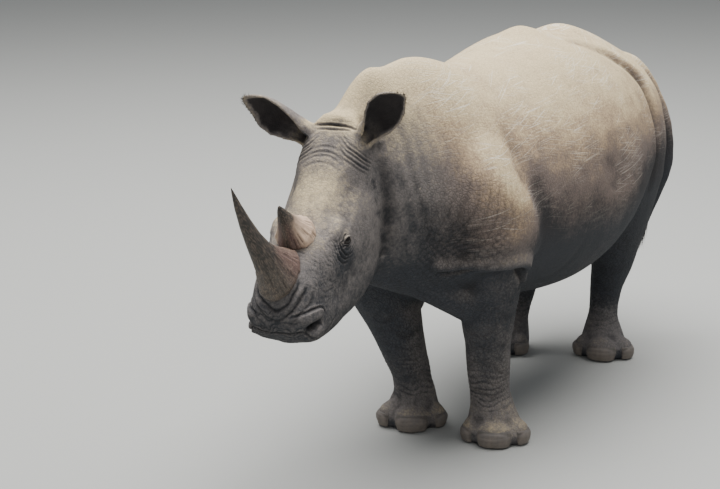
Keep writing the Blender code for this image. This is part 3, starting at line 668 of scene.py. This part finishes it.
# painted shade inside each ear's cup, where it faces into its own hollow
cup = np.zeros(len(points))
for name in EARS:
    in_ear = in_box(points, "ear_" + name, 0.008) * ease(out, 0.10, 0.13)
    facing = HEAD_AXES @ np.array(EARS[name][0])
    base, reach = ear_line(name)
    up_the_ear = (points - base) @ reach / (reach @ reach)
    mud = mud * (1 - in_ear) + in_ear * (0.43 + 0.08 * mid + 0.16 * ease(up_the_ear, 0.40, 0.05))
    cup = np.maximum(cup, in_ear * ease(normals @ facing, -0.05, 0.35) * ease(wide_cavity, -0.35, 0.1)
                     * ease(up_the_ear, 0.08, 0.42))
# painted shade, near black, in the pit round each eyeball
painted_eye_pit_shade = np.zeros(len(points))
for place in EYES_IN_HEAD.values():
    spread = head - place
    away = np.linalg.norm(spread, axis=1)
    painted_eye_pit_shade = np.maximum(painted_eye_pit_shade, ease(away, 0.0225, 0.0195))
    ahead = np.hypot(spread[:, 0] - 0.060, spread[:, 2] + 0.025)
    # a darker patch ahead of each eye, and a paler ring over its upper lid
    mud -= 0.16 * (hill(ahead, 0.055) * ease(out, 0.08, 0.11))
    mud += 0.16 * hill(away - 0.034, 0.012) * ease(spread[:, 2], -0.01, 0.02) * on_head
# painted shade inside the nostrils
nostril = hill(np.hypot(np.hypot(along - 0.812, up + 0.170), out - 0.125), 0.018)
pebbled = np.maximum(neck * ease(z, 1.35, 1.0), ease(z, 0.9, 0.6) * (0.25 + 0.75 * ease(z, 0.10, 0.30)))
scratched = (1 - on_head) * ease(z, 0.80, 1.0) * ease(y, -0.75, -0.55)
stored = {
    # painted shade in the hollows and painted light on the crests
    "mud": mud - 0.16 * unit(cavity) + 0.10 * unit(-cavity),
    "painted_low_shade": painted_low_shade,
    # rim holds the painted shade of the eye pits and the nostrils
    "rim": np.maximum(painted_eye_pit_shade, nostril * (cavity > 0.2)),
    "pebbled": pebbled,
    "scratched": scratched,
    "cup": cup,
    # painted shade in the hollows
    "hollow": 0.65 * unit(cavity) + 0.55 * unit(wide_cavity),
}
for name, values in stored.items():
    store(hide, name, unit(values))


# ---- horns: layered fibre, ragged at the foot and worn smooth above ------------------------------
def make_horn(name, node_name, centre, half_long, half_wide, height, turns, pale_reach):
    horn = solid_copy(name, [node_name])
    modify(horn, "REMESH", mode="VOXEL", voxel_size=HORN_VOXEL)
    relax(horn, 0.5 * ease(to_head(points_of(horn))[:, 2] / height, 0.9, 0.5), 24)
    relax(horn, 0.5, 3)
    points, normals = points_of(horn), normals_of(horn)
    a, x, n = to_head(points).T
    low = ease(n, 0.10 * height, -0.05 * height)
    share = unit(n / height)
    around = np.arctan2(x / half_wide, (a - centre) / half_long)
    streaks = np.stack([around * 0.9, n * 1.1, around * 0], 1)
    fibre = 0.6 * noise(streaks, 0.055, 1) + 0.4 * noise(streaks, 0.025, 2)
    rags = noise(np.stack([around * 0.8, n * 1.6, around * 0], 1), 0.08, 3)
    foot = ease(share, 0.45, 0.02)
    rise = (0.0006 + 0.0007 * foot) * fibre + 0.0034 * foot * rags + 0.0012 * foot * noise(points, 0.016, 8)
    # growth steps ring the lower part, each overhanging the next a little
    step = n / 0.030 + 0.8 * noise(points, 0.07, 4)
    rise += foot * (0.0012 * (step - np.floor(step)) - 0.0005)
    # the foot spreads into the skin and reaches down into it
    rise += 0.004 * hill(n + 0.010, 0.016)
    sunk = ease(normals @ HEAD_AXES[:, 2], -0.2, -0.7)
    set_points(horn, points + normals * (rise * (1 - sunk))[:, None]
               - sunk[:, None] * HEAD_AXES[:, 2] * 0.014)
    store(horn, "share", share / pale_reach)
    # the front edge is rubbed dark; the sides are rusty and the back is as pale as the skin
    store(horn, "flank", ease(np.abs(around), turns[0], turns[1]))
    store(horn, "rear", ease(np.abs(around), turns[1], turns[2]))
    # painted shade in the horn's hollows
    store(horn, "hollow", unit(hollows(horn, 5) / 0.0008))
    return smooth(horn)


# A horn's middle along the head, half length and half width of its foot and its height; then the
# turns, in radians from its front, where dark becomes rusty and rusty becomes pale, and how far
# up the paler foot reaches
front_horn = make_horn("horn_front", "front_horn", 0.695, 0.114, 0.080, 0.492, (0.8, 2.0, 4.6), 0.9)
rear_horn = make_horn("horn_rear", "rear_horn", 0.515, 0.084, 0.080, 0.158, (0.0, 0.5, 1.1), 1.9)


# ---- toenails: blunt plates worn flat at the ground ----------------------------------------------
def make_nail(foot, toe):
    node_name = f"nail_{foot}_{toe}"
    nail = solid_copy(f"toenail_{foot}_{toe}", [node_name])
    modify(nail, "REMESH", mode="VOXEL", voxel_size=NAIL_VOXEL)
    relax(nail, 0.5, 22)
    points, normals = points_of(nail), normals_of(nail)
    rise = 0.0014 * noise(points * (1.0, 1.0, 0.15), 0.010, 5) + 0.0016 * noise(points, 0.05, 6)
    rise += 0.0012 * ripples(points[:, 2] / 0.019 + 0.3 * noise(points, 0.06, 7))
    points = points + normals * rise[:, None]
    # the sides and the top edge curve back under the skin of the toe
    outward = np.array(middle(node_name) - middle(foot)) * (1, 1, 0)
    outward /= np.linalg.norm(outward)
    across = np.array((-outward[1], outward[0], 0))
    place = points - np.array(middle(node_name))
    sideways = np.abs(place @ across) / np.abs(place @ across).max()
    high = points[:, 2] / points[:, 2].max()
    edge = np.hypot(sideways ** 1.5, ease(high, 0.55, 1.05))
    points -= (0.007 * ease(edge, 0.62, 1.08))[:, None] * outward
    points[:, 2] = np.maximum(points[:, 2], 0.0)
    set_points(nail, points)
    store(nail, "low", ease(points[:, 2], 0.10, 0.0))
    # painted shade in the nail's hollows and where its edges curve under the skin
    store(nail, "hollow", unit(hollows(nail, 5) / 0.0008 + 0.9 * ease(edge, 0.72, 0.98)))
    return smooth(nail), node_name


nails = [make_nail(foot, toe) for foot in FEET for toe in TOES]


# ---- eyes: wet dark balls with a clear front -----------------------------------------------------
def make_eye(name, place):
    flip = 1 if name == "left" else -1
    bpy.ops.object.select_all(action="DESELECT")
    bpy.ops.mesh.primitive_uv_sphere_add(segments=64, ring_count=40, radius=EYE_RADIUS, location=(0, 0, 0))
    eye = bpy.context.object
    eye.name = "eyeball_" + name
    outward = HEAD_TURN @ Vector((GAZE.x, GAZE.y * flip, GAZE.z))
    turn = outward.to_track_quat("Z", "Y").to_matrix().to_4x4()
    points = points_of(eye)
    polar = np.arccos(np.clip(points[:, 2] / EYE_RADIUS, -1, 1))
    # the cornea stands a little proud of the ball
    points *= (1 + 0.055 * ease(polar, 0.62, 0.15))[:, None]
    set_points(eye, points)
    store(eye, "polar", polar)
    eye.data.transform(Matrix.Translation(Vector(place)) @ turn)
    return smooth(eye)


eyeballs = {name: make_eye(name, place) for name, place in EYES.items()}


# ---- hair: stiff tufts on the rims of the ears and at the end of the tail ------------------------
def unwrapped_skin():
    """A light copy of the hide, cut and laid flat along its own shape."""
    bpy.ops.object.select_all(action="DESELECT")
    copy = twin(hide)
    modify(copy, "DECIMATE", ratio=0.05, use_collapse_triangulate=True)
    choose(copy)
    bpy.ops.object.mode_set(mode="EDIT")
    bpy.ops.mesh.select_all(action="SELECT")
    bpy.ops.uv.smart_project(angle_limit=radians(66), island_margin=0.001)
    bpy.ops.object.mode_set(mode="OBJECT")
    return copy


class Skin:
    """Finds where on the skin's unwrap a root lies."""

    def __init__(self):
        copy = unwrapped_skin()
        layer = copy.data.uv_layers.active.data
        self.corners = [[copy.data.vertices[v].co.copy() for v in face.vertices]
                        for face in copy.data.polygons]
        self.flat = [[Vector((*layer[loop].uv, 0)) for loop in face.loop_indices]
                     for face in copy.data.polygons]
        self.tree = BVHTree.FromPolygons([v.co.copy() for v in copy.data.vertices],
                                         [list(face.vertices) for face in copy.data.polygons])
        bpy.data.objects.remove(copy)

    def place(self, root):
        where, _, face, _ = self.tree.find_nearest(Vector(root))
        return barycentric_transform(where, *self.corners[face], *self.flat[face])


def grow(name, skin, roots, directions, lengths, widths, droop):
    """Tapering three-sided hairs, each bent a little as it leaves its root."""
    vertices, faces, patches = [], [], []
    for root, direction, length, width in zip(roots, directions, lengths, widths):
        flat = skin.place(root)
        direction = Vector(direction).normalized()
        side = direction.orthogonal().normalized()
        other = direction.cross(side)
        bend = Vector(rng.normal(0, 0.25, 3)) + Vector((0, 0, -droop))
        first = len(vertices)
        for ring, share in enumerate((0.0, 0.3, 0.62, 1.0)):
            centre = Vector(root) + (direction * share + bend * share * share * 0.5) * length
            if ring == 3:
                vertices.append(centre)
                patches.append((flat.x, flat.y + PATCH))
                continue
            for turn in (0, 1, 2):
                angle = turn * 2 * pi / 3
                vertices.append(centre + (side * cos(angle) + other * sin(angle)) * width
                                * (1 - 0.75 * share))
                patches.append((flat.x + PATCH / 2 * cos(angle), flat.y + PATCH * share * 0.9))
        for ring in (0, 1):
            for turn in (0, 1, 2):
                here, there = first + 3 * ring + turn, first + 3 * ring + (turn + 1) % 3
                faces.append((here, there, there + 3, here + 3))
        for turn in (0, 1, 2):
            faces.append((first + 6 + turn, first + 6 + (turn + 1) % 3, first + 9))
        faces.append((first + 2, first + 1, first))
    mesh = bpy.data.meshes.new(name)
    mesh.from_pydata(vertices, [], faces)
    layer = mesh.uv_layers.new(name="OFBake")
    for loop in mesh.loops:
        layer.data[loop.index].uv = patches[loop.vertex_index]
    hair = bpy.data.objects.new(name, mesh)
    link(hair)
    return smooth(hair)


FRINGE_HAIRS, FRINGE_THICKNESS = 420, 0.0004
TUFT_HAIRS, TUFT_THICKNESS = 420, 0.0008
PATCH = 0.0030              # size of a tuft's patch on the baking map

skin = Skin()
points, normals = points_of(hide), normals_of(hide)
crest = -hollows(hide, 3)


def ear_fringe(name):
    base, reach = ear_line(name)
    share = (points - base) @ reach / (reach @ reach)
    in_ear = np.nonzero((in_box(points, "ear_" + name, 0.004) > 0.5) & (share > 0.35))[0]
    rim = in_ear[np.argsort(-crest[in_ear])[:max(60, len(in_ear) // 9)]]
    chosen = rng.choice(rim, FRINGE_HAIRS)
    chosen = chosen[rng.random(FRINGE_HAIRS) < 0.35 + 0.65 * share[chosen]]
    away = points[chosen] - (base + share[chosen][:, None] * reach)
    away /= np.linalg.norm(away, axis=1)[:, None]
    directions = away + 0.9 * reach / np.linalg.norm(reach) + rng.normal(0, 0.22, away.shape)
    count = len(chosen)
    roots = points[chosen] + rng.normal(0, 0.0012, away.shape) - 0.001 * normals[chosen]
    lengths = rng.uniform(0.004, 0.009, count) * (0.5 + 1.2 * ease(share[chosen], 0.8, 1.0))
    return grow("fringe_" + name, skin, roots, directions, lengths, np.full(count, FRINGE_THICKNESS), 0.15)


def tail_tuft():
    low, high = (np.array(corner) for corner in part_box("tail"))
    on_tail = np.nonzero((in_box(points, "tail", 0.01) > 0.3) & (points[:, 2] < low[2] + 0.075)
                         & (points[:, 1] > 1.40))[0]
    chosen = rng.choice(on_tail, TUFT_HAIRS)
    count = len(chosen)
    directions = 0.15 * normals[chosen] + np.array((-0.30, -0.30, -1.0)) + rng.normal(0, 0.06, (count, 3))
    lengths = rng.uniform(0.040, 0.080, count)
    return grow("tail_tuft", skin, points[chosen] - 0.001 * normals[chosen], directions, lengths,
                np.full(count, TUFT_THICKNESS), 0.3)


fringes = {name: ear_fringe(name) for name in EARS}
tuft = tail_tuft()


# ---- materials -----------------------------------------------------------------------------------
def colour(code):
    """A screen colour as the linear values that a socket takes."""
    values = [int(code[k:k + 2], 16) / 255 for k in (1, 3, 5)]
    return tuple(v / 12.92 if v <= 0.04045 else ((v + 0.055) / 1.055) ** 2.4 for v in values) + (1.0,)


class Look:
    """A material, and the tools that add nodes to it and return what they put out."""

    def __init__(self, name, roughness, shine=None):
        self.material = bpy.data.materials.new(name)
        self.material.use_nodes = True
        self.tree = self.material.node_tree
        self.shader = self.tree.nodes["Principled BSDF"]
        self.shader.inputs["Roughness"].default_value = roughness
        if shine is not None:
            self.shader.inputs["Specular IOR Level"].default_value = shine

    def add(self, kind, sockets=None, out=0, **settings):
        """A node with its settings; each socket takes a number, a colour or another node's output."""
        made = self.tree.nodes.new("ShaderNode" + kind)
        for name, value in settings.items():
            setattr(made, name, value)
        for key, value in (sockets or {}).items():
            if isinstance(value, bpy.types.NodeSocket):
                self.tree.links.new(value, made.inputs[key])
            else:
                made.inputs[key].default_value = value
        return made.outputs[out]

    def place(self):
        return self.add("TexCoord", out="Object")

    def stored(self, *names):
        """Numbers kept for each point of the piece."""
        return [self.add("Attribute", out="Fac", attribute_name=name) for name in names]

    def figure(self, operation, *values, clamp=True):
        """Arithmetic on sockets and numbers."""
        return self.add("Math", dict(enumerate(values)), operation=operation, use_clamp=clamp)

    def times(self, first, second, clamp=True):
        return self.figure("MULTIPLY", first, second, clamp=clamp)

    def plus_times(self, value, factor, base, clamp=True):
        """The base with so many times the value added."""
        return self.figure("MULTIPLY_ADD", value, factor, base, clamp=clamp)

    def blend(self, share, first, second, kind="MIX"):
        """From the first colour to the second; a colour is a socket or a screen code."""
        ends = (colour(end) if isinstance(end, str) else end for end in (first, second))
        return self.add("MixRGB", dict(enumerate((share, *ends))), blend_type=kind)

    def step(self, value, low, high):
        """0 below low, 1 above high, soft between."""
        return self.add("MapRange", {"Value": value, "From Min": low, "From Max": high}, out="Result",
                        interpolation_type="SMOOTHSTEP")

    def speckle(self, place, size, detail=3.0, rough=0.55, stretch=None, turn=(0, 0, 0)):
        """Noise whose blotches are about this many metres across, drawn out along turned axes."""
        if stretch:
            place = self.add("Mapping", {"Vector": place, "Rotation": turn, "Scale": stretch},
                             vector_type="TEXTURE")
        return self.add("TexNoise",
                        {"Vector": place, "Scale": 1 / size, "Detail": detail, "Roughness": rough}, out="Fac")

    def finish(self, base, height=None, strength=0.0, distance=0.0):
        """The base colour, and the bump where there is one."""
        if isinstance(base, str):
            self.shader.inputs["Base Color"].default_value = colour(base)
        else:
            self.tree.links.new(base, self.shader.inputs["Base Color"])
        if height is not None:
            bump = self.add("Bump", {"Strength": strength, "Distance": distance, "Height": height})
            self.tree.links.new(bump, self.shader.inputs["Normal"])
        return self.material


def hide_material():
    # White rhinoceros hide: bare grey leather, thick and cracked into small plates. Dry pale mud
    # clings to the back and the flanks, so the plates' edges read darker; the folds, hollows, ear cups, eye
    # pits and low parts carry painted shade.
    look = Look("hide", 0.82, 0.22)
    place = look.place()
    mud, painted_low_shade, painted_crease_shade, hollow, cup, rim, pebbled, scratched = look.stored(
        "mud", "painted_low_shade", "painted_crease_shade", "hollow", "cup", "rim", "pebbled", "scratched")
    patchy = look.speckle(place, 0.045, 5.0, 0.62)
    dusty = look.speckle(place, 0.012, 3.0, 0.6)
    amount = look.plus_times(look.figure("SUBTRACT", patchy, 0.5, clamp=False), 0.27, mud)
    amount = look.plus_times(look.figure("SUBTRACT", dusty, 0.5, clamp=False), 0.42, amount)
    base = look.blend(look.step(amount, 0.02, 0.50), HIDE_DARK, HIDE_GREY)
    # pale where the mud is thick and where the painted highlights lie
    base = look.blend(look.step(amount, 0.42, 1.0), base, MUD_AND_LIGHT_PALE)
    # Where the mud is thin on the sides it has a brown cast
    thin = look.times(scratched, look.step(amount, 0.98, 0.66))
    base = look.blend(thin, base, MUD_CAST, kind="MULTIPLY")
    # painted shade on the chest, the low parts and the undersides
    base = look.blend(look.times(painted_low_shade, 0.55), base, PAINTED_SHADE_GREY)
    # Plates about 15 mm across with finer ones of 7 mm among them: the cracks are darker
    drift = look.add("TexNoise", {"Vector": place, "Scale": 22.0, "Detail": 2.0}, out="Color")
    drift = look.add("VectorMath", {0: drift, "Scale": 0.02}, operation="SCALE")
    wavy = look.add("VectorMath", {0: place, 1: drift}, operation="ADD")
    plates, small = (look.add("TexVoronoi", {"Vector": wavy, "Scale": scale}, out="Distance",
                              feature="DISTANCE_TO_EDGE") for scale in (68.0, 150.0))
    cracks = look.figure("MAXIMUM", look.step(plates, 0.14, 0.0),
                         look.times(look.step(small, 0.12, 0.0), 0.55))
    # Scratches from thorns, long, thin and pale: three sets that cross at low angles
    sets = []
    for size, turn, level in ((0.022, 0.10, 0.64), (0.019, -0.20, 0.65), (0.026, 0.34, 0.66)):
        line = look.speckle(place, size, 1.0, 0.4, stretch=(10.0, 10.0, 0.15), turn=(turn, 0.0, 0.0))
        here = look.step(look.speckle(place, 0.22 + size, 1.0), 0.40, 0.58)
        sets.append(look.times(look.step(line, level, level + 0.04), here))
    scratch = look.figure("MAXIMUM", look.figure("MAXIMUM", sets[0], sets[1]), sets[2])
    scratch = look.times(scratch, scratched)
    base = look.blend(look.times(scratch, look.plus_times(mud, 0.60, 0.02)), base, SCRATCH_PALE)
    base = look.blend(look.times(cracks, look.plus_times(pebbled, 0.30, 0.22)), base, CRACK_AND_SHADE_DARK)
    # painted shade in the folds and the hollows
    depth = look.figure("MAXIMUM", look.times(painted_crease_shade, 0.52), look.times(hollow, 0.55))
    base = look.blend(depth, base, CRACK_AND_SHADE_DARK)
    # painted shade inside the ear cups
    base = look.blend(look.times(cup, 0.85), base, CUP_SHADE_DARK)
    # painted shade, near black, in the eye pits and the nostrils
    base = look.blend(look.times(rim, 0.96), base, PIT_SHADE_BLACK)
    # The plates stand about a millimetre proud; grains of mud and fine creases lie over them
    height = look.times(look.plus_times(pebbled, 1.2, 0.6, clamp=False), look.step(plates, 0.0, 0.22),
                        clamp=False)
    for layer, share in ((look.step(small, 0.0, 0.25), 0.35), (dusty, 0.8), (patchy, 1.2)):
        height = look.plus_times(layer, share, height, clamp=False)
    return look.finish(base, height, 0.6, 0.0022)


def horn_material():
    # Keratin horn, grown in layered fibres: dark and rubbed smooth above, pale and frayed at the
    # foot where dry mud holds.
    look = Look("horn", 0.62, 0.35)
    place = look.place()
    share, flank, rear, hollow = look.stored("share", "flank", "rear", "hollow")
    patchy = look.speckle(place, 0.05, 4.0, 0.6)
    ragged = look.times(look.figure("SUBTRACT", patchy, 0.5, clamp=False), 0.5, clamp=False)
    foot = look.step(look.figure("ADD", share, ragged), 0.42, 0.05)
    frayed = look.blend(rear, look.blend(flank, HORN_GREY, HORN_RED), HORN_PALE)
    base = look.blend(foot, HORN_DARK, frayed)
    fibres = look.speckle(place, 0.0045, 2.0, stretch=(0.7, 0.7, 22.0), turn=tuple(HEAD_TURN.to_euler()))
    base = look.blend(look.times(look.step(fibres, 0.45, 0.65), 0.16), base, HORN_PALE)
    # painted shade in the horn's hollows
    base = look.blend(look.times(hollow, 0.6), base, CRACK_AND_SHADE_DARK)
    height = look.figure("ADD", fibres, look.times(patchy, 0.8), clamp=False)
    return look.finish(base, height, 0.5, 0.0012)


def nail_material():
    # Horn of the toes, scuffed and dusted with earth
    look = Look("nail", 0.7)
    place = look.place()
    low, hollow = look.stored("low", "hollow")
    patchy = look.speckle(place, 0.03, 4.0, 0.6)
    grain = look.speckle(place, 0.006, 2.0, 0.5, stretch=(1, 1, 5.0))
    base = look.blend(look.step(patchy, 0.35, 0.65), NAIL_GREY, NAIL_BROWN)
    base = look.blend(look.times(low, 0.5), base, NAIL_DUST)
    # painted shade in the nail's hollows and at its edges
    base = look.blend(look.times(hollow, 0.5), base, CRACK_AND_SHADE_DARK)
    return look.finish(base, look.figure("ADD", grain, patchy, clamp=False), 0.4, 0.001)


def eye_material():
    # Wet eye: dark brown iris and pupil, the white hidden by the lids but for its browned edge
    look = Look("eye", 0.14, 0.4)
    polar, = look.stored("polar")
    iris = look.blend(look.step(polar, 0.20, 0.26), EYE_BLACK, EYE_BROWN)
    return look.finish(look.blend(look.step(polar, 0.56, 0.66), iris, EYE_EDGE))


HIDE_DARK, HIDE_GREY, MUD_AND_LIGHT_PALE, SCRATCH_PALE = "#3b3d41", "#7e7773", "#d6c29b", "#efe6d6"
MUD_CAST = "#f6e8e0"
PAINTED_SHADE_GREY, CRACK_AND_SHADE_DARK, CUP_SHADE_DARK, PIT_SHADE_BLACK = "#3d4148", "#24211f", "#2b2829", "#090808"
HORN_DARK, HORN_GREY, HORN_RED, HORN_PALE = "#35322f", "#504a44", "#65504a", "#c9ad95"
NAIL_GREY, NAIL_BROWN, NAIL_DUST = "#65605c", "#746b64", "#82776c"
EYE_BLACK, EYE_BROWN, EYE_EDGE = "#040303", "#140c08", "#1c1310"
HAIR_BLACK, FLOOR_GREY, SKY_PALE = "#1d1713", "#a9a9a5", "#dfe4ea"


def finish_with(piece, material):
    piece.data.materials.clear()
    piece.data.materials.append(material)


finish_with(hide, hide_material())
horn_look, nail_look, eye_look = horn_material(), nail_material(), eye_material()
hair_look = Look("bristle", 0.55).finish(HAIR_BLACK)     # stiff and black-brown

# ---- what each piece stands for ------------------------------------------------------------------
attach(hide, "root")
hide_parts(*FLESH)
for horn, node_name in ((front_horn, "front_horn"), (rear_horn, "rear_horn")):
    finish_with(horn, horn_look)
    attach(horn, "root")
    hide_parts(node_name)
for nail, node_name in nails:
    finish_with(nail, nail_look)
    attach(nail, "root")
    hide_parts(node_name)
for name, eye in eyeballs.items():
    finish_with(eye, eye_look)
    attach(eye, "root")
    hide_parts("eye_" + name)
for hair, slot in ((fringes["left"], "ear"), (fringes["right"], "ear"), (tuft, "hide")):
    finish_with(hair, hair_look)
    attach(hair, "root")

# ---- floor, light and camera ---------------------------------------------------------------------
FLOOR_SIZE = 160
# Each lamp: where it stands, what it faces, its diameter and its power in watts
LAMPS = (("sky", (-0.8, 1.0, 10.0), (0, 0.5, 0.8), 12.0, 2900),
         ("front", (3.5, -7.0, 5.5), (0, -0.5, 0.9), 4.0, 90))
CAMERA_PLACE = (3.1351, -6.5296, 2.700)
CAMERA_DOWN, CAMERA_ROUND = radians(14.84), radians(29.44)

bpy.ops.object.select_all(action="DESELECT")
bpy.ops.mesh.primitive_plane_add(size=FLOOR_SIZE, location=(0, 0, 0))
floor = bpy.context.object
floor.name = "floor"
finish_with(floor, Look("floor", 0.95).finish(FLOOR_GREY))

world = bpy.data.worlds.new("studio")
world.use_nodes = True
world.node_tree.nodes["Background"].inputs["Color"].default_value = colour(SKY_PALE)
world.node_tree.nodes["Background"].inputs["Strength"].default_value = 0.42
bpy.context.scene.world = world

for name, location, aim, size, power in LAMPS:
    light = bpy.data.lights.new(name, "AREA")
    light.shape = "DISK"
    light.size = size
    light.energy = power
    lamp = bpy.data.objects.new(name, light)
    lamp.location = location
    lamp.rotation_euler = (Vector(aim) - Vector(location)).to_track_quat("-Z", "Y").to_euler()
    link(lamp)

camera_data = bpy.data.cameras.new("camera")
camera_data.lens = 85
camera_data.sensor_width = 36
camera = bpy.data.objects.new("camera", camera_data)
camera.location = CAMERA_PLACE
camera.rotation_euler = (radians(90) - CAMERA_DOWN, 0, CAMERA_ROUND)
link(camera)
bpy.context.scene.camera = camera
